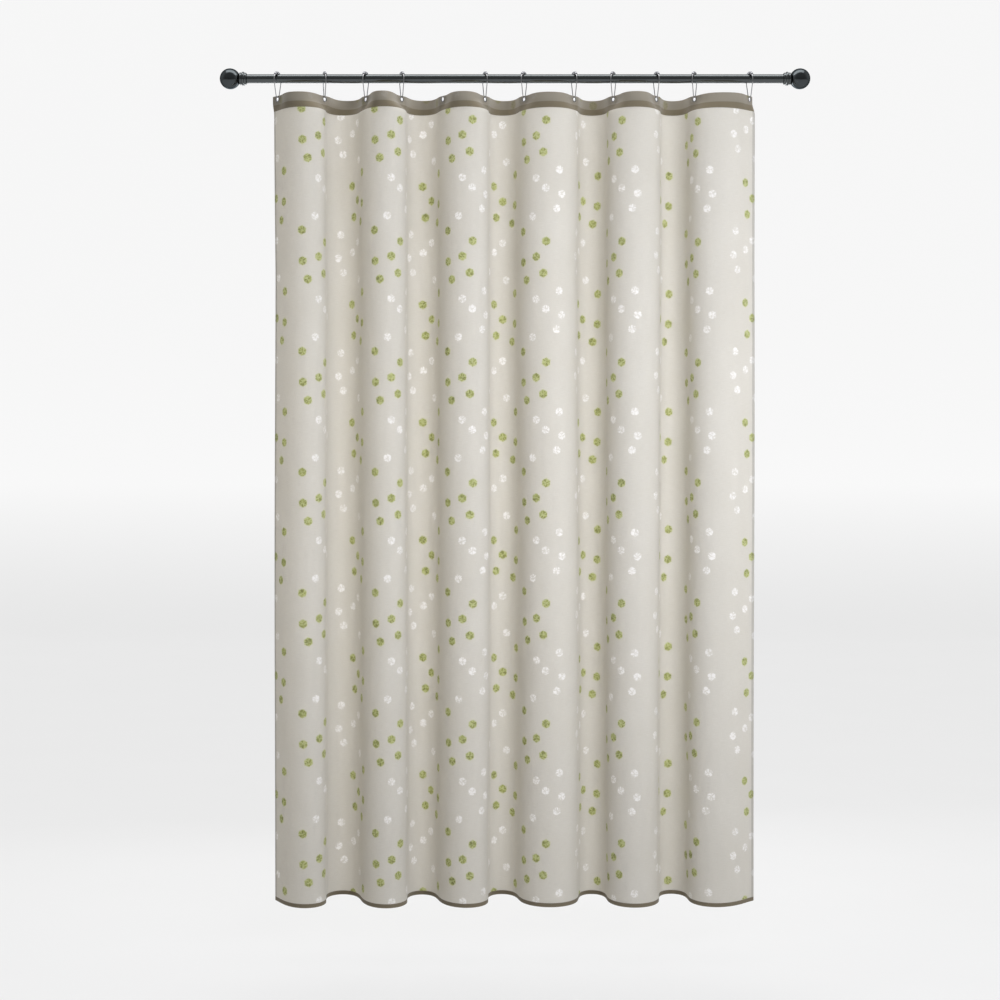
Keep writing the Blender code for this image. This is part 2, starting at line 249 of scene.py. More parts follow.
def node(tree, kind, **settings):
    made = tree.nodes.new(kind)
    for key, value in settings.items():
        setattr(made, key, value)
    return made


def maths(tree, operation, a, b=None, clamp=False):
    made = node(tree, "ShaderNodeMath", operation=operation, use_clamp=clamp)
    for socket, value in zip(made.inputs, (a, b)):
        if value is None:
            continue
        if isinstance(value, (int, float)):
            socket.default_value = value
        else:
            tree.links.new(value, socket)
    return made.outputs[0]


def vector_maths(tree, operation, a, b=None, scale=None):
    made = node(tree, "ShaderNodeVectorMath", operation=operation)
    for socket, value in zip(made.inputs, (a, b)):
        if value is None:
            continue
        if isinstance(value, tuple):
            socket.default_value = value
        else:
            tree.links.new(value, socket)
    if scale is not None:
        if isinstance(scale, (int, float)):
            made.inputs["Scale"].default_value = scale
        else:
            tree.links.new(scale, made.inputs["Scale"])
    return made.outputs["Value" if operation == "LENGTH" else "Vector"]


def mix_colour(tree, factor, a, b, blend="MIX"):
    made = node(tree, "ShaderNodeMix", data_type="RGBA", blend_type=blend)
    for socket, value in ((made.inputs[0], factor), (made.inputs[6], a), (made.inputs[7], b)):
        if isinstance(value, tuple):
            socket.default_value = (*value, 1.0)
        elif isinstance(value, (int, float)):
            socket.default_value = value
        else:
            tree.links.new(value, socket)
    return made.outputs[2]


def noise(tree, vector, scale, detail=2.0, rough=0.5):
    made = node(tree, "ShaderNodeTexNoise")
    made.inputs["Scale"].default_value = scale
    made.inputs["Detail"].default_value = detail
    made.inputs["Roughness"].default_value = rough
    tree.links.new(vector, made.inputs["Vector"])
    return made.outputs["Fac"]


def span(tree, value, low, high, to_low, to_high):
    made = node(tree, "ShaderNodeMapRange")
    made.inputs["From Min"].default_value = low
    made.inputs["From Max"].default_value = high
    made.inputs["To Min"].default_value = to_low
    made.inputs["To Max"].default_value = to_high
    tree.links.new(value, made.inputs["Value"])
    return made.outputs["Result"]


def bump(tree, height, distance, strength):
    made = node(tree, "ShaderNodeBump")
    made.inputs["Strength"].default_value = strength
    made.inputs["Distance"].default_value = distance
    tree.links.new(height, made.inputs["Height"])
    return made.outputs["Normal"]


def object_coordinates(tree):
    return node(tree, "ShaderNodeTexCoord").outputs["Object"]


# ---------------------------------------------------------------- materials
def metal(name, colour, roughness, wear_colour, wear, grain=(900.0, 900.0, 900.0), rim=1.0):
    """Metal with fine brushing, faint smudges and a little wear. Rim is its brightness at glancing angles."""
    mat, tree, shader = new_material(name)
    place = object_coordinates(tree)
    brushed = noise(tree, vector_maths(tree, "MULTIPLY", place, grain), 1.0, 3.0)
    smudge = noise(tree, place, 45.0, 4.0, 0.6)
    worn = span(tree, noise(tree, place, 260.0, 5.0, 0.7), 0.60, 0.78, 0.0, wear)
    base = mix_colour(tree, span(tree, smudge, 0.3, 0.7, 0.0, 0.35), colour,
                      tuple(0.82 * c for c in colour))
    tree.links.new(mix_colour(tree, worn, base, wear_colour), shader.inputs["Base Color"])
    shader.inputs["Metallic"].default_value = 1.0
    shader.inputs["Specular Tint"].default_value = (rim, rim, rim, 1.0)
    rough = maths(tree, "ADD", span(tree, smudge, 0.3, 0.7, roughness * 0.8, roughness * 1.3),
                  span(tree, brushed, 0.3, 0.7, -0.03, 0.03), clamp=True)
    tree.links.new(rough, shader.inputs["Roughness"])
    tree.links.new(bump(tree, brushed, 0.00002, 0.25), shader.inputs["Normal"])
    return mat


def printed_cubes(tree, uv):
    """Masks of the print: green ink, white ink, the green's pale edge, and where the ink lies thick."""
    parts = node(tree, "ShaderNodeSeparateXYZ")
    tree.links.new(uv, parts.inputs[0])
    columns = maths(tree, "DIVIDE", maths(tree, "SUBTRACT", parts.outputs[0], COLUMN_START), COLUMN)
    odd = maths(tree, "FLOORED_MODULO", maths(tree, "FLOOR", columns), 2.0)
    across = maths(tree, "FRACT", columns)
    flipped = maths(tree, "SUBTRACT", 1.0, across)
    across = maths(tree, "ADD", maths(tree, "MULTIPLY", across, maths(tree, "SUBTRACT", 1.0, odd)),
                   maths(tree, "MULTIPLY", flipped, odd))
    rows = maths(tree, "DIVIDE", maths(tree, "SUBTRACT", parts.outputs[1], ROW_START - ABOVE_ROW), REPEAT)
    down = maths(tree, "FRACT", maths(tree, "ADD", rows, maths(tree, "MULTIPLY", odd, 0.5)))
    cell = node(tree, "ShaderNodeCombineXYZ")
    tree.links.new(maths(tree, "MULTIPLY", across, COLUMN), cell.inputs[0])
    tree.links.new(maths(tree, "MULTIPLY", down, REPEAT), cell.inputs[1])

    inside, ink, turn = None, {}, None
    for name, places in (("green", GREEN_AT), ("white", WHITE_AT)):
        for number, (x, y) in enumerate(places):
            gap = vector_maths(tree, "SUBTRACT", cell.outputs[0], (x, y + ABOVE_ROW, 0.0))
            near = maths(tree, "LESS_THAN", vector_maths(tree, "LENGTH", gap), MOTIF_ROOM)
            gap = vector_maths(tree, "SCALE", gap, scale=near)
            own_turn = maths(tree, "MULTIPLY", near, 0.4 + 1.1 * number)
            inside = gap if inside is None else vector_maths(tree, "ADD", inside, gap)
            turn = own_turn if turn is None else maths(tree, "ADD", turn, own_turn)
            ink[name] = near if name not in ink else maths(tree, "ADD", ink[name], near)

    # within one cube, in units of its radius: three brushed faces round a bare Y
    spot = node(tree, "ShaderNodeSeparateXYZ")
    tree.links.new(vector_maths(tree, "SCALE", inside, scale=1.0 / MOTIF_R), spot.inputs[0])
    x, y = spot.outputs[0], spot.outputs[1]
    reach = maths(tree, "SQRT", maths(tree, "ADD", maths(tree, "MULTIPLY", x, x),
                                      maths(tree, "MULTIPLY", y, y)))
    angle = maths(tree, "ADD", maths(tree, "ARCTAN2", y, x), turn)
    third = 2 * math.pi / 3
    face_angle = maths(tree, "SUBTRACT", maths(tree, "FLOORED_MODULO", angle, third), third / 2)
    sixth = maths(tree, "SUBTRACT", maths(tree, "FLOORED_MODULO", angle, third / 2), third / 4)
    hexagon = maths(tree, "MULTIPLY", reach, maths(tree, "COSINE", sixth))
    outline = maths(tree, "ADD", maths(tree, "MULTIPLY", hexagon, 0.82), maths(tree, "MULTIPLY", reach, 0.22))
    ragged = noise(tree, vector_maths(tree, "SCALE", uv, scale=420.0), 1.0, 3.0, 0.65)
    outline = maths(tree, "ADD", outline, span(tree, ragged, 0.2, 0.8, -0.20, 0.20))
    cube = span(tree, outline, 0.84, 0.98, 1.0, 0.0)
    halo = span(tree, outline, 0.92, 1.12, 1.0, 0.0)

    ray = maths(tree, "SUBTRACT", third / 2, maths(tree, "ABSOLUTE", face_angle))
    from_ray = maths(tree, "MULTIPLY", reach, maths(tree, "SINE", ray))
    wavering = maths(tree, "ADD", from_ray, span(tree, ragged, 0.2, 0.8, -0.10, 0.10))
    bare_y = span(tree, wavering, 0.02, 0.10, 0.7, 0.0)
    stroke = node(tree, "ShaderNodeCombineXYZ")
    across_face = maths(tree, "MULTIPLY", reach, maths(tree, "SINE", face_angle))
    tree.links.new(maths(tree, "MULTIPLY", across_face, 3.4), stroke.inputs[0])
    down_face = maths(tree, "MULTIPLY", reach, maths(tree, "COSINE", face_angle))
    tree.links.new(maths(tree, "MULTIPLY", down_face, 0.9), stroke.inputs[1])
    face_number = maths(tree, "FLOOR", maths(tree, "DIVIDE", angle, third))
    tree.links.new(maths(tree, "MULTIPLY", face_number, 3.7), stroke.inputs[2])
    shifted = vector_maths(tree, "ADD", stroke.outputs[0], vector_maths(tree, "SCALE", uv, scale=35.0))
    streak = noise(tree, shifted, 1.0, 2.0, 0.55)
    dry = span(tree, streak, 0.50, 0.56, 0.0, 1.0)
    thick = span(tree, streak, 0.48, 0.36, 0.0, 1.0)
    bare = maths(tree, "MAXIMUM", bare_y, maths(tree, "MULTIPLY", dry, 0.85))
    laid = maths(tree, "MULTIPLY", cube, maths(tree, "SUBTRACT", 1.0, bare))
    green = maths(tree, "MULTIPLY", laid, ink["green"])
    white = maths(tree, "MULTIPLY", laid, ink["white"])
    tint = maths(tree, "MULTIPLY", maths(tree, "MULTIPLY", halo, ink["green"]), 0.78)
    return green, white, tint, thick


def cloth_material():
    """Fine, lightly see-through woven cloth in warm beige, with the printed motifs and denser hems; the hems'
    dark colour is painted shade for the light from behind that they block.
    """
    mat, tree, shader = new_material("curtain_cloth")
    uv = node(tree, "ShaderNodeUVMap", uv_map="cloth").outputs["UV"]
    parts = node(tree, "ShaderNodeSeparateXYZ")
    tree.links.new(uv, parts.inputs[0])
    along, down = parts.outputs[0], parts.outputs[1]

    # hems: two more layers at the top and one at the other edges
    top = maths(tree, "LESS_THAN", down, TOP_HEM)
    turned_in = maths(tree, "MULTIPLY", top, maths(tree, "GREATER_THAN", down, TURN_IN))
    foot = maths(tree, "GREATER_THAN", down, FLAT - FOOT_HEM)
    left = maths(tree, "LESS_THAN", along, SIDE_HEM)
    right = maths(tree, "GREATER_THAN", along, FLAT - SIDE_HEM)
    edge = maths(tree, "MAXIMUM", foot, maths(tree, "MAXIMUM", left, right))
    layers = maths(tree, "ADD", maths(tree, "MULTIPLY", top, 0.84),
                   maths(tree, "ADD", maths(tree, "MULTIPLY", turned_in, 0.16),
                         maths(tree, "MULTIPLY", foot, 1.0)), clamp=True)
    layers = maths(tree, "MAXIMUM", layers, maths(tree, "MULTIPLY", edge, 0.25))

    # the weave: threads both ways, thicker slubs along the weft
    warp = node(tree, "ShaderNodeTexWave", wave_type="BANDS", bands_direction="X")
    weft = node(tree, "ShaderNodeTexWave", wave_type="BANDS", bands_direction="Y")
    for wave, pitch in ((warp, 0.00055), (weft, 0.0005)):
        tree.links.new(uv, wave.inputs["Vector"])
        wave.inputs["Scale"].default_value = 0.314 / pitch
        wave.inputs["Distortion"].default_value = 1.2
        wave.inputs["Detail"].default_value = 1.0
        wave.inputs["Detail Scale"].default_value = 1.4
    slub = noise(tree, vector_maths(tree, "MULTIPLY", uv, (60.0, 1500.0, 1.0)), 1.0, 3.0, 0.6)
    thread = noise(tree, vector_maths(tree, "MULTIPLY", uv, (1500.0, 90.0, 1.0)), 1.0, 2.0, 0.5)
    mottle = noise(tree, uv, 9.0, 4.0, 0.55)

    plain = mix_colour(tree, span(tree, slub, 0.25, 0.75, 0.0, 1.0),
                       (0.754, 0.741, 0.712), (0.834, 0.825, 0.806))
    plain = mix_colour(tree, span(tree, thread, 0.3, 0.7, 0.0, 0.30), plain, (0.70, 0.685, 0.645))
    plain = mix_colour(tree, span(tree, mottle, 0.3, 0.7, 0.0, 0.16), plain, (0.69, 0.665, 0.61))
    green, white, tint, thick = printed_cubes(tree, uv)
    plain = mix_colour(tree, tint, plain, (0.68, 0.715, 0.38))
    plain = mix_colour(tree, maths(tree, "MULTIPLY", green, 0.62), plain,
                       mix_colour(tree, thick, (0.42, 0.45, 0.13), (0.17, 0.175, 0.035)))
    plain = mix_colour(tree, maths(tree, "MULTIPLY", white, 0.92), plain, (0.97, 0.97, 0.985))
    # painted shade: the hems' colour darkens with their layers, standing in for the light from behind that
    # they keep out
    cloth_and_painted_hem_shade = mix_colour(tree, layers, plain, (0.235, 0.195, 0.13))
    tree.links.new(cloth_and_painted_hem_shade, shader.inputs["Base Color"])
    shader.inputs["Roughness"].default_value = 0.82
    shader.inputs["Specular IOR Level"].default_value = 0.25
    shader.inputs["Sheen Weight"].default_value = 0.25
    shader.inputs["Sheen Roughness"].default_value = 0.45

    relief = maths(tree, "ADD", maths(tree, "MULTIPLY", warp.outputs["Fac"], 0.5),
                   maths(tree, "ADD", maths(tree, "MULTIPLY", weft.outputs["Fac"], 0.6), slub))
    normal = bump(tree, relief, 0.00012, 0.35)
    tree.links.new(normal, shader.inputs["Normal"])

    # light that comes through the threads is warmer than light they send back
    through = node(tree, "ShaderNodeBsdfTranslucent")
    tree.links.new(mix_colour(tree, 1.0, cloth_and_painted_hem_shade, (0.99, 0.965, 0.915), "MULTIPLY"), through.inputs["Color"])
    tree.links.new(normal, through.inputs["Normal"])
    mixer = node(tree, "ShaderNodeMixShader")
    tree.links.new(span(tree, layers, 0.0, 0.8, 0.50, 0.07), mixer.inputs[0])
    tree.links.new(shader.outputs[0], mixer.inputs[1])
    tree.links.new(through.outputs[0], mixer.inputs[2])
    tree.links.new(mixer.outputs[0], tree.nodes["Material Output"].inputs["Surface"])
    return mat


def thread_material():
    """Sewing thread, twisted, a shade darker than the cloth."""
    mat, tree, shader = new_material("hem_thread")
    place = object_coordinates(tree)
    twist = node(tree, "ShaderNodeTexWave", wave_type="BANDS", bands_direction="DIAGONAL")
    tree.links.new(place, twist.inputs["Vector"])
    twist.inputs["Scale"].default_value = 900.0
    twist.inputs["Distortion"].default_value = 1.5
    tone = mix_colour(tree, twist.outputs["Fac"], (0.22, 0.19, 0.14), (0.31, 0.28, 0.22))
    tree.links.new(tone, shader.inputs["Base Color"])
    shader.inputs["Roughness"].default_value = 0.7
    shader.inputs["Sheen Weight"].default_value = 0.2
    tree.links.new(bump(tree, twist.outputs["Fac"], 0.00003, 0.4), shader.inputs["Normal"])
    return mat


def studio_material():
    """Pale matt paper for the floor and backdrop; it glows as painted light, dimmer on the floor and brighter
    up the backdrop.
    """
    mat, tree, shader = new_material("studio_paper")
    place = object_coordinates(tree)
    tone = mix_colour(tree, noise(tree, place, 3.0, 3.0), (0.115, 0.115, 0.115), (0.13, 0.13, 0.13))
    tree.links.new(tone, shader.inputs["Base Color"])
    shader.inputs["Roughness"].default_value = 0.9
    shader.inputs["Specular IOR Level"].default_value = 0.1
    shader.inputs["Emission Color"].default_value = (1.0, 1.0, 1.0, 1.0)
    height = node(tree, "ShaderNodeSeparateXYZ")
    tree.links.new(place, height.inputs[0])
    # painted light: the paper's glow rises from the floor to 0.8 m above it
    glow = span(tree, height.outputs[2], FLOOR_Z, FLOOR_Z + 0.8, 0.70, 0.89)
    tree.links.new(glow, shader.inputs["Emission Strength"])
    return mat


# ---------------------------------------------------------------- the cloth's plan
def bezier(a, b, c, d, count):
    t = np.linspace(0.0, 1.0, count)[:, None]
    return ((1 - t) ** 3 * a + 3 * (1 - t) ** 2 * t * b
            + 3 * (1 - t) * t ** 2 * c + t ** 3 * d)


def half_fold(half_chord, depth, yaw, count=400):
    """From an eyelet at the origin to a fold's crest at (half_chord, depth)."""
    lean = np.array([math.cos(yaw), math.sin(yaw)])
    start = lean * EYELET_FLAT
    crest = np.array([half_chord, depth])
    reach = np.linalg.norm(crest - start)
    curve = bezier(start, start + lean * 0.22 * reach,
                   crest - np.array([0.66 * half_chord, 0.0]), crest, count)
    return np.vstack([[0.0, 0.0], curve])


def side_of(k):
    """-1 for a fold that stands out to the front after eyelet k, +1 for one to the back."""
    return -1 if k % 2 == 0 else 1


def whole_plan():
    """The cloth's middle line seen from above, from its left edge to its right edge."""
    lean = np.array([math.cos(YAWS[0]), math.sin(YAWS[0])])
    points = [np.array([[EYELET_X[0], 0.0] - lean * [1, side_of(0)] * SIDE_MARGIN])]
    for k in range(COUNT - 1):
        depth = abs(CREASES[k][1])
        go = half_fold(CHORDS[k] / 2, depth, YAWS[k]) * [1, side_of(k)] + [EYELET_X[k], 0.0]
        back = half_fold(CHORDS[k] / 2, depth, YAWS[k + 1]) * [-1, side_of(k)] + [EYELET_X[k + 1], 0.0]
        points += [go, back[::-1][1:-1]]
    last = COUNT - 1
    lean = np.array([math.cos(YAWS[last]), math.sin(YAWS[last])])
    start = lean * EYELET_FLAT
    rest = SIDE_MARGIN - EYELET_FLAT
    end = bezier(start, start + lean * rest * 0.33,
                 start + lean * rest * 0.55 + np.array([0.0, 0.12 * rest]),
                 start + np.array([0.3 * rest, 0.95 * rest]), 40)
    tail = np.vstack([[0.0, 0.0], end])
    points.append(tail * [1, side_of(last)] + [EYELET_X[last], 0.0])
    return np.vstack(points)


PLAN = whole_plan()
PLAN_U = np.concatenate([[0.0], np.cumsum(np.linalg.norm(np.diff(PLAN, axis=0), axis=1))])
EYELET_U = [float(PLAN_U[np.argmin(np.linalg.norm(PLAN - [x, 0.0], axis=1))]) for x in EYELET_X]
CREST_U = [float(PLAN_U[np.argmin(np.linalg.norm(PLAN - c[:2], axis=1))]) for c in CREASES]
LENGTH = float(PLAN_U[-1])


def hanging_plan(steps=30, rounds=40):
    """The line of the free-hanging cloth: the least bent strip of the cloth's own length through its flanks.

    The strip is a chain of short straight links. Each round of Newton's method flattens the turns between
    links while the links of every bay still add up to the step from one flank to the next, and while the
    leaning flanks keep their heading.
    """
    flanks = np.array(EYELET_X) + FLANK_SHIFT
    bays = COUNT - 1
    link = np.repeat(np.diff(EYELET_U) / steps, steps)
    share = (np.arange(steps) + 0.5) / steps
    heading = np.concatenate([side_of(k) * 1.35 * np.cos(math.pi * share) for k in range(bays)])
    size = len(heading)
    turns = np.diff(np.eye(size), axis=0)
    stiffness = turns.T @ turns + 1e-9 * np.eye(size)
    held = 2 * bays + len(FLANK_LEAN)
    for _ in range(rounds):
        slopes, miss = np.zeros((held, size)), np.zeros(held)
        for k in range(bays):
            own = slice(k * steps, (k + 1) * steps)
            run, rise = link[own] * np.cos(heading[own]), link[own] * np.sin(heading[own])
            slopes[2 * k, own], slopes[2 * k + 1, own] = -rise, run
            miss[2 * k] = run.sum() - (flanks[k + 1] - flanks[k])
            miss[2 * k + 1] = rise.sum()
        for row, (k, lean) in enumerate(FLANK_LEAN.items()):
            slopes[2 * bays + row, k * steps] = 1.0
            miss[2 * bays + row] = heading[k * steps] - side_of(k) * math.radians(lean)
        system = np.block([[stiffness, slopes.T], [slopes, np.zeros((held, held))]])
        answer = np.linalg.solve(system, np.concatenate([-stiffness @ heading, -miss]))
        heading = heading + 0.5 * answer[:size]
    steps_xy = np.stack([link * np.cos(heading), link * np.sin(heading)], axis=1)
    line = np.vstack([[flanks[0], 0.0], [flanks[0], 0.0] + np.cumsum(steps_xy, axis=0)])
    reach = np.concatenate([[0.0], np.cumsum(link)]) + EYELET_U[0]
    first = line[0] - EYELET_U[0] * np.array([math.cos(heading[0]), math.sin(heading[0])])
    rest = LENGTH - reach[-1]
    last = line[-1] + rest * np.array([math.cos(heading[-1] * 0.9), math.sin(heading[-1] * 0.9)])
    return np.vstack([[first], line, [last]]), np.concatenate([[0.0], reach, [LENGTH]])


HANG, HANG_U = hanging_plan()


def along(line, line_u, u):
    return np.stack([np.interp(u, line_u, line[:, i]) for i in (0, 1)], axis=-1)


def plan_at(u, v):
    """Points and left-hand normals of the cloth's line at lengths u along the cloth, at heights v down it."""
    u, v = np.broadcast_arrays(np.asarray(u, float), np.asarray(v, float))
    free = np.clip((v - FREE_FROM) / (FREE_BELOW - FREE_FROM), 0.0, 1.0)
    free = (free * free * (3 - 2 * free))[..., None]
    step = 2.0 * MM

    def at(where):
        return (1 - free) * along(PLAN, PLAN_U, where) + free * along(HANG, HANG_U, where)

    run = at(u + step) - at(u - step)
    run /= np.linalg.norm(run, axis=-1, keepdims=True)
    return (at(u - step) + 2 * at(u) + at(u + step)) / 4, np.stack([-run[..., 1], run[..., 0]], axis=-1)


def drape(u, v):
    """How far the hanging cloth stands off its plan, along its normal, at u along and v down."""
    ease = np.clip((v - 0.05) / 0.35, 0.0, 1.0) ** 1.5
    wave = (np.sin(11.0 * u + 2.3 * v + 0.7) + 0.6 * np.sin(23.0 * u - 3.1 * v + 2.1)
            + 0.5 * np.sin(5.0 * v - 17.0 * u))
    return RIPPLE * ease * wave


# ---------------------------------------------------------------- the cloth, strip by strip
def sorted_cuts(values):
    """The values in order, without those that nearly repeat the one before."""
    out = []
    for value in sorted(values):
        if not out or value - out[-1] > 0.15 * MM:
            out.append(value)
    return np.array(out)


def strip_columns(start, end):
    """Lengths along the cloth where a strip has columns, closer together near the folds' crests."""
    cuts = list(np.linspace(start, end, COLUMNS))
    cuts += [start + 0.8 * MM, end - 0.8 * MM]
    for u in CREST_U:
        if start < u < end:
            cuts += list(u + np.linspace(-CREST_REACH, CREST_REACH, CREST_COLUMNS))
    for edge in (SIDE_HEM, LENGTH - SIDE_HEM):
        if start < edge < end:
            cuts += [edge - BESIDE_EDGE, edge + BESIDE_EDGE]
    return sorted_cuts(cuts)


def cloth_rows():
    cuts = list(np.linspace(0.0, FLAT, ROWS))
    cuts += list(np.linspace(FREE_FROM, FREE_BELOW, FREE_ROWS))
    cuts += [2 * MM, 8 * MM, TOP_HEM - BESIDE_EDGE, TOP_HEM + BESIDE_EDGE,
             FLAT - FOOT_HEM - BESIDE_EDGE, FLAT - FOOT_HEM + BESIDE_EDGE, FLAT - 2 * MM]
    return sorted_cuts(cuts)


def hem_depth(u, v):
    """How far the back face stands behind the cloth's middle."""
    thick = ((v < TOP_HEM) | (v > FLAT - FOOT_HEM) | (u < SIDE_HEM) | (u > LENGTH - SIDE_HEM))
    return np.where(thick, HEM_BACK, FACE)


def strip_mesh(name, start, end, mat):
    """One strip of cloth as a closed thin solid, with lengths along and down the flat cloth as its UVs."""
    us, vs = strip_columns(start, end), cloth_rows()
    grid_u, grid_v = np.meshgrid(us, vs, indexing="ij")
    point, normal = plan_at(grid_u, grid_v)
    lift = drape(grid_u, grid_v)
    z = CLOTH_TOP - grid_v * DROP / FLAT

    def layer(offset):
        xy = point + normal * (lift + offset)[..., None]
        return np.concatenate([xy, z[..., None]], axis=-1)

    front = layer(-FACE * np.ones_like(grid_u))
    back = layer(hem_depth(grid_u, grid_v))
    rows = []
    for i in range(len(us)):
        a, b = front[i], back[i]
        top = 0.5 * (a[0] + b[0])
        foot = 0.5 * (a[-1] + b[-1])
        a_in, b_in = a.copy(), b.copy()
        for side in (a_in, b_in):
            side[0, 2] -= EDGE_ROUND
            side[-1, 2] += EDGE_ROUND
        rows.append(np.vstack([[top], a_in, [foot], b_in[::-1]]))
    size = len(rows[0])
    verts, faces = skin(rows, False, True)
    obj = add_mesh(name, verts, faces, mat, 40.0)
    layer_uv = obj.data.uv_layers.new(name="cloth")
    down = np.concatenate([[0.0], vs, [FLAT], vs[::-1]])
    corner_vertex = np.zeros(len(obj.data.loops), dtype=np.int32)
    obj.data.loops.foreach_get("vertex_index", corner_vertex)
    uvs = np.stack([us[corner_vertex // size], down[corner_vertex % size]], axis=-1)
    layer_uv.data.foreach_set("uv", uvs.astype(np.float32).ravel())
    face_outwards(obj)
    return obj


def cut_holes(obj, numbers):
    """Cut the eyelets' holes in a strip."""
    for k in numbers:
        cutter = turned("hole_cutter", [(-5 * MM, EYELET_CUT_R), (5 * MM, EYELET_CUT_R)], EYELETS[k],
                        eyelet_axis(k), 32, obj.data.materials[0], closed=False)
        made = obj.modifiers.new("hole", "BOOLEAN")
        made.operation = "DIFFERENCE"
        made.solver = "EXACT"
        made.object = cutter
        bpy.context.view_layer.objects.active = obj
        with bpy.context.temp_override(object=obj, active_object=obj):
            bpy.ops.object.modifier_apply(modifier=made.name)
        bpy.data.objects.remove(cutter, do_unlink=True)


def eyelet_axis(k):
    """Square to the cloth at eyelet k, towards the front."""
    yaw = YAWS[k] * side_of(k)
    return Vector((math.sin(yaw), -math.cos(yaw), 0.0))


def stitches(name, start, end, mat):
    """Short raised stitches along both hems, on the front and back faces."""
    length, gap, half = 2.6 * MM, 1.2 * MM, 0.16 * MM
    lines = ((TOP_HEM - 2.5 * MM, -1), (TOP_HEM - 2.5 * MM, 1),
             (FLAT - FOOT_HEM + 1.8 * MM, -1), (FLAT - FOOT_HEM + 1.8 * MM, 1))
    first = int(math.ceil((start + 0.3 * MM) / (length + gap)))
    last = int((end - 0.3 * MM - length) / (length + gap))
    verts, faces = [], []
    for v, face in lines:
        for i in range(first, last + 1):
            us = i * (length + gap) + np.linspace(0.0, length, 5)
            point, normal = plan_at(us, v)
            offset = drape(us, np.full(5, v)) + (-FACE if face < 0 else HEM_BACK)
            rise = np.array([-0.08, 0.10, 0.16, 0.10, -0.08]) * MM * (-1 if face < 0 else 1)
            z = CLOTH_TOP - v * DROP / FLAT
            rows = []
            for j in range(5):
                xy = point[j] + normal[j] * (offset[j] + rise[j])
                r = half * (0.45 if j in (0, 4) else 1.0)
                rows.append([(*(xy + normal[j] * r * math.cos(a)), z + r * math.sin(a))
                             for a in np.linspace(0, 2 * math.pi, 6, endpoint=False)])
            join_on(verts, faces, *skin(rows, False, True))
    obj = add_mesh(name, verts, faces, mat)
    face_outwards(obj)
    return obj


def build_cloth(cloth, thread):
    for k in range(COUNT - 1):
        start = 0.0 if k == 0 else EYELET_U[k] + SEAM_AT
        end = LENGTH if k == COUNT - 2 else EYELET_U[k + 1] + SEAM_AT
        strip = strip_mesh("cloth_fold_" + TAGS[k], start, end, cloth)
        cut_holes(strip, [0, 1] if k == 0 else [k + 1])
        sewing = stitches("hem_stitches_" + TAGS[k], start, end, thread)
        for piece in (strip, sewing):
            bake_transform(piece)
        if k == 0:
            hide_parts("curtain_panel_" + TAGS[0], "curtain_panel_" + TAGS[1])
        else:
            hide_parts("curtain_panel_" + TAGS[k + 1])


# ---------------------------------------------------------------- eyelets and rings
def build_eyelets(mat):
    for k, tag in enumerate(TAGS):
        rim, back = EYELET_RISE, HEM_BACK + 0.05 * MM
        profile = [(0.0, EYELET_HOLE_R), (0.55 * rim, EYELET_HOLE_R + 0.12 * MM),
                   (rim, EYELET_HOLE_R + 0.75 * MM), (rim + 0.08 * MM, EYELET_HOLE_R + 1.3 * MM),
                   (rim - 0.1 * MM, EYELET_R - 0.3 * MM), (0.372 * MM, EYELET_R),
                   (FACE + 0.02 * MM, EYELET_R - 0.1 * MM), (FACE + 0.02 * MM, EYELET_TUBE_R),
                   (-back, EYELET_TUBE_R), (-back, EYELET_R - 0.1 * MM),
                   (-rim, EYELET_R - 0.3 * MM), (-rim - 0.1 * MM, EYELET_HOLE_R + 1.2 * MM),
                   (-rim, EYELET_HOLE_R + 0.7 * MM), (-0.55 * rim, EYELET_HOLE_R + 0.12 * MM)]
        made = turned("eyelet_rivet_" + tag, rounded(profile, 0.2 * MM, 3), EYELETS[k],
                      eyelet_axis(k), 48, mat, smooth_angle=45.0)
        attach(made, "fold_" + tag)
        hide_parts("eyelet_" + tag)


def ring_path(count_arc=44, count_foot=26, count_side=6):
    """Points and tangents (sideways, up) round the pear-shaped ring, starting near its top."""
    slope = math.asin((RING_ARC_R - RING_FOOT_R) / (RING_ARC_Z - RING_FOOT_Z))
    ends = math.pi / 2 + slope
    path = []
    for a in np.linspace(-ends, ends, count_arc):
        path.append(((RING_ARC_R * math.sin(a), RING_ARC_Z + RING_ARC_R * math.cos(a)),
                     (math.cos(a), -math.sin(a))))
    foot = []
    for a in np.linspace(ends, 2 * math.pi - ends, count_foot):
        foot.append(((RING_FOOT_R * math.sin(a), RING_FOOT_Z + RING_FOOT_R * math.cos(a)),
                     (math.cos(a), -math.sin(a))))

    def between(a, b):
        return [(tuple(np.array(a[0]) * (1 - s) + np.array(b[0]) * s), a[1])
                for s in np.linspace(0, 1, count_side + 2)[1:-1]]

    return path + between(path[-1], foot[0]) + foot + between(foot[-1], path[0])


def ring_frame(k):
    """Ring k's centre on the rod's axis, its direction to the front and the one along the rod."""
    turn = math.radians(RING_YAW[k]) * side_of(k)
    out = Vector((math.sin(turn), -math.cos(turn), 0.0))
    return Vector((EYELET_X[k], 0.0, 0.0)), out, Vector((math.cos(turn), math.sin(turn), 0.0))


def sections(points, tangents, across, radii, sides):
    """Circles of points round a path, one at each of its points."""
    rows = []
    for p, t, r in zip(points, tangents, radii):
        outward = t.cross(across).normalized()
        rows.append([p + outward * (r * math.cos(a)) + across * (r * math.sin(a))
                     for a in np.linspace(0, 2 * math.pi, sides, endpoint=False)])
    return rows


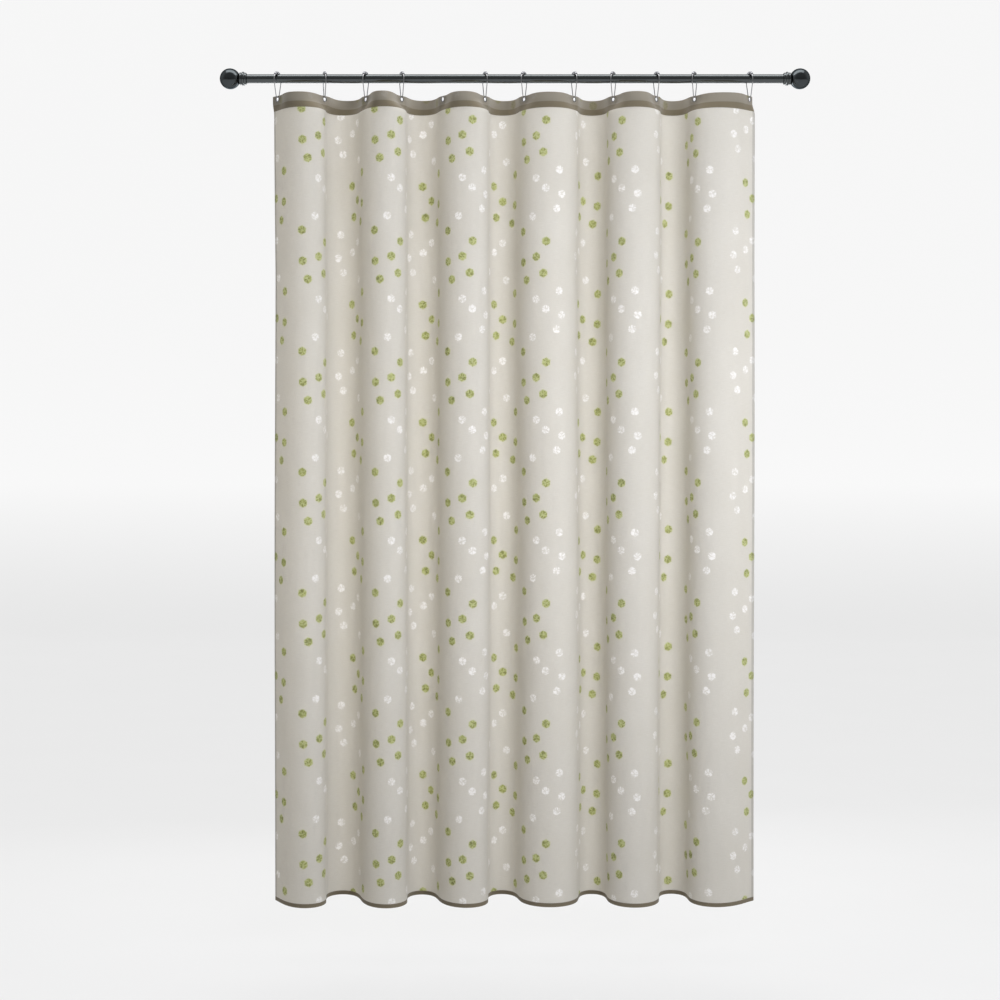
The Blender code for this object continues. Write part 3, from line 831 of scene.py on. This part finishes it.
def build_rings(chrome, dark):
    up = Vector((0, 0, 1))
    clasp_z = RING_ARC_Z + CLASP_AT * RING_ARC_R
    for tag in HOOKED:
        k = TAGS.index(tag)
        centre, out, normal = ring_frame(k)
        path = ring_path()
        points = [centre + out * p[0] + up * p[1] for p, _ in path]
        tangents = [(out * t[0] + up * t[1]).normalized() for _, t in path]
        radii = []
        for p in points:
            at_clasp = abs((p - centre).z - clasp_z) < CLASP_REACH and (p - centre).dot(out) > 0
            radii.append(WIRE_R * (CLASP_THICK if at_clasp else 1.0))
        verts, faces = skin(sections(points, tangents, normal, radii, 14), True, False)
        wire = add_mesh("ring_wire_" + tag, verts, faces, chrome, 60.0)
        face_outwards(wire)
        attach(wire, "hook_" + tag)
        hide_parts("ring_" + tag)

        verts, faces = [], []
        step = ROLLER_L / RING_ARC_R
        for i in range(ROLLERS):
            a = (i - (ROLLERS - 1) / 2) * step
            p = centre + out * (RING_ARC_R * math.sin(a)) + up * (RING_ARC_Z + RING_ARC_R * math.cos(a))
            axis = (out * math.cos(a) - up * math.sin(a)).normalized()
            third = axis.cross(normal)
            half = 0.46 * ROLLER_L
            profile = [(-half, WIRE_R + 0.2 * MM), (-half, 0.62 * ROLLER_R)]
            for s in np.linspace(-0.85, 0.85, 9):
                profile.append((half * s, ROLLER_R * math.sqrt(1 - 0.62 * s ** 4) * (1 - 0.04 * s * s)))
            profile += [(half, 0.62 * ROLLER_R), (half, WIRE_R + 0.2 * MM)]
            rows = []
            for b in np.linspace(0, 2 * math.pi, 28, endpoint=False):
                spoke = normal * math.cos(b) + third * math.sin(b)
                rows.append([p + axis * x + spoke * r for x, r in profile])
            join_on(verts, faces, *skin(rows, True, False))
        beads = add_mesh("ring_rollers_" + tag, verts, faces, dark, 40.0)
        face_outwards(beads)
        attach(beads, "hook_" + tag)
        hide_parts("rollers_" + tag)


# ---------------------------------------------------------------- the rod's parts
def build_rod(gunmetal, ball_metal):
    inner = ROD_R - ROD_WALL
    profile = [(-TUBE_END, inner), (-TUBE_END, ROD_R), (TUBE_END, ROD_R), (TUBE_END, inner)]
    tube = turned("rod", rounded(profile, 0.4 * MM, 3), (0, 0, 0), (1, 0, 0), 96, gunmetal)
    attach(tube, "rod")
    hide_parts("rod_tube")
    length = COLLAR_OUT - COLLAR_IN
    groove = COLLAR_R - 2.2 * MM
    for word, side in (("left", -1), ("right", 1)):
        profile = [(0.0, ROD_R + CLEAR), (0.0, ROD_R + 2.6 * MM), (0.12 * length, ROD_R + 3.4 * MM),
                   (0.22 * length, groove), (0.30 * length, groove), (0.36 * length, COLLAR_R - 0.5 * MM),
                   (0.44 * length, COLLAR_R), (0.56 * length, COLLAR_R), (0.64 * length, COLLAR_R - 0.5 * MM),
                   (0.70 * length, groove), (0.80 * length, groove), (0.88 * length, groove + 0.9 * MM),
                   (length, groove + 0.2 * MM), (length, ROD_R + CLEAR)]
        ribbed = turned("collar_ribbed_" + word, rounded(profile, 0.7 * MM, 5), (side * COLLAR_IN, 0, 0),
                        (side, 0, 0), 96, gunmetal, smooth_angle=40.0)
        seat_r = ROD_R - 0.6 * MM
        seat = COLLAR_OUT + CLEAR
        centre = seat + math.sqrt(BALL_R ** 2 - seat_r ** 2)
        spigot = inner - CLEAR
        spigot_end = TUBE_END - SPIGOT_L
        profile = [(spigot_end, spigot - SPIGOT_TAPER), (spigot_end + SPIGOT_TAPER, spigot),
                   (seat - 0.01 * MM, spigot)]
        for a in np.linspace(math.asin(seat_r / BALL_R), math.pi - 0.02, 48):
            profile.append((centre - BALL_R * math.cos(a), BALL_R * math.sin(a)))
        ball = turned("ball_" + word, profile, (0, 0, 0), (side, 0, 0), 96, ball_metal, closed=False)
        for piece, stands_for, slot in ((ribbed, "collar_" + word, "rod_paint"),
                                        (ball, "end_ball_" + word, "ball_paint")):
            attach(piece, "rod")
            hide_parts(stands_for)


# ---------------------------------------------------------------- studio
def build_studio(paper):
    """A floor that sweeps up into a backdrop, inside a pale round room."""
    front, back, side, bend, height = -6.0, 7.5, 12.0, 2.0, 9.0
    profile = [(front, FLOOR_Z)]
    for a in np.linspace(0.0, math.pi / 2, 24):
        profile.append((back - bend + bend * math.sin(a), FLOOR_Z + bend * (1 - math.cos(a))))
    profile.append((back, FLOOR_Z + height))
    verts = [(x, y, z) for x in (-side, side) for y, z in profile]
    n = len(profile)
    faces = [(i, i + 1, n + i + 1, n + i) for i in range(n - 1)]
    sweep = add_mesh("studio_sweep", verts, faces, paper, 60.0)
    sweep.visible_diffuse = False

    # the room lets the part hang before white when it is seen from the sides and the back too
    spokes = [(math.cos(a), math.sin(a)) for a in np.linspace(0.0, 2 * math.pi, 64, endpoint=False)]
    low, high, radius = FLOOR_Z - 0.01, FLOOR_Z + height, 10.5
    verts = [(radius * x, radius * y, z) for z in (low, high) for x, y in spokes]
    n = len(spokes)
    faces = [(i, (i + 1) % n, n + (i + 1) % n, n + i) for i in range(n)] + [tuple(range(n))]
    room = add_mesh("studio_room", verts, faces, paper, 60.0)
    room.visible_diffuse = room.visible_glossy = room.visible_transmission = room.visible_shadow = False


def area_light(name, place, target, size, power, colour=(1.0, 1.0, 1.0)):
    light = bpy.data.lights.new(name, "AREA")
    light.shape = "RECTANGLE"
    light.size, light.size_y = size
    light.energy = power
    light.color = colour
    obj = bpy.data.objects.new(name, light)
    bpy.context.scene.collection.objects.link(obj)
    obj.location = place
    obj.rotation_mode = "QUATERNION"
    obj.rotation_quaternion = (Vector(target) - Vector(place)).to_track_quat("-Z", "Y")
    return obj


def build_lights():
    """Pale air, a cool key from the front right, a soft light above the rod and one behind the cloth."""
    world = bpy.data.worlds.new("studio_air")
    bpy.context.scene.world = world
    world.use_nodes = True
    tree = world.node_tree
    back = tree.nodes["Background"]
    parts = node(tree, "ShaderNodeSeparateXYZ")
    tree.links.new(node(tree, "ShaderNodeTexCoord").outputs["Generated"], parts.inputs[0])
    height = span(tree, parts.outputs[2], -0.7, 0.3, 0.0, 1.0)
    room = mix_colour(tree, height, (0.30, 0.30, 0.30), (0.95, 0.95, 0.95))
    depth = span(tree, parts.outputs[1], -0.6, 0.5, 0.30, 1.15)
    tree.links.new(mix_colour(tree, 1.0, room, depth, "MULTIPLY"), back.inputs["Color"])
    back.inputs["Strength"].default_value = 1.0
    key = area_light("key", (0.95, -1.9, -0.55), (0.0, 0.0, -0.65), (2.2, 0.5), 37.0, (0.96, 1.0, 1.08))
    key.visible_camera = False
    key.visible_glossy = False
    area_light("top", (0.0, -0.08, 1.2), (0.0, -0.08, 0.0), (2.6, 0.85), 24.0)
    behind = area_light("behind", (-0.15, 1.4, -0.72), (0.0, 0.0, -0.75), (2.6, 0.6), 30.0)
    behind.visible_camera = False


def build_camera():
    data = bpy.data.cameras.new("camera")
    data.sensor_width = 36.0
    data.lens = 61.96
    data.shift_y = -0.0555
    data.clip_end = 60.0
    camera = bpy.data.objects.new("camera", data)
    bpy.context.scene.collection.objects.link(camera)
    left, distance, eye = 33.4523 * MM, 3.84, -0.76
    camera.location = (-left, -distance, eye)
    camera.rotation_mode = "XYZ"
    camera.rotation_euler = (math.pi / 2 - math.radians(0.80), 0.0, 0.0)
    bpy.context.scene.camera = camera


# ---------------------------------------------------------------- build
bpy.context.scene.view_settings.view_transform = "Standard"
build_camera()
gunmetal = metal("rod_gunmetal", (0.105, 0.113, 0.115), 0.20, (0.14, 0.14, 0.14), 0.12,
                 grain=(40.0, 1400.0, 1400.0), rim=0.7)
ball_metal = metal("ball_gunmetal", (0.070, 0.078, 0.082), 0.18, (0.10, 0.10, 0.10), 0.12,
                   grain=(500.0, 500.0, 500.0), rim=0.3)
chrome = metal("ring_chrome_wire", (0.42, 0.42, 0.43), 0.16, (0.34, 0.34, 0.34), 0.15)
roller = metal("roller_dark_chrome", (0.30, 0.30, 0.32), 0.2, (0.5, 0.5, 0.5), 0.2)
eyelet = metal("eyelet_dark_chrome", (0.30, 0.30, 0.31), 0.24, (0.55, 0.55, 0.55), 0.2)
build_rod(gunmetal, ball_metal)
build_rings(chrome, roller)
build_eyelets(eyelet)
build_cloth(cloth_material(), thread_material())
build_studio(studio_material())
build_lights()
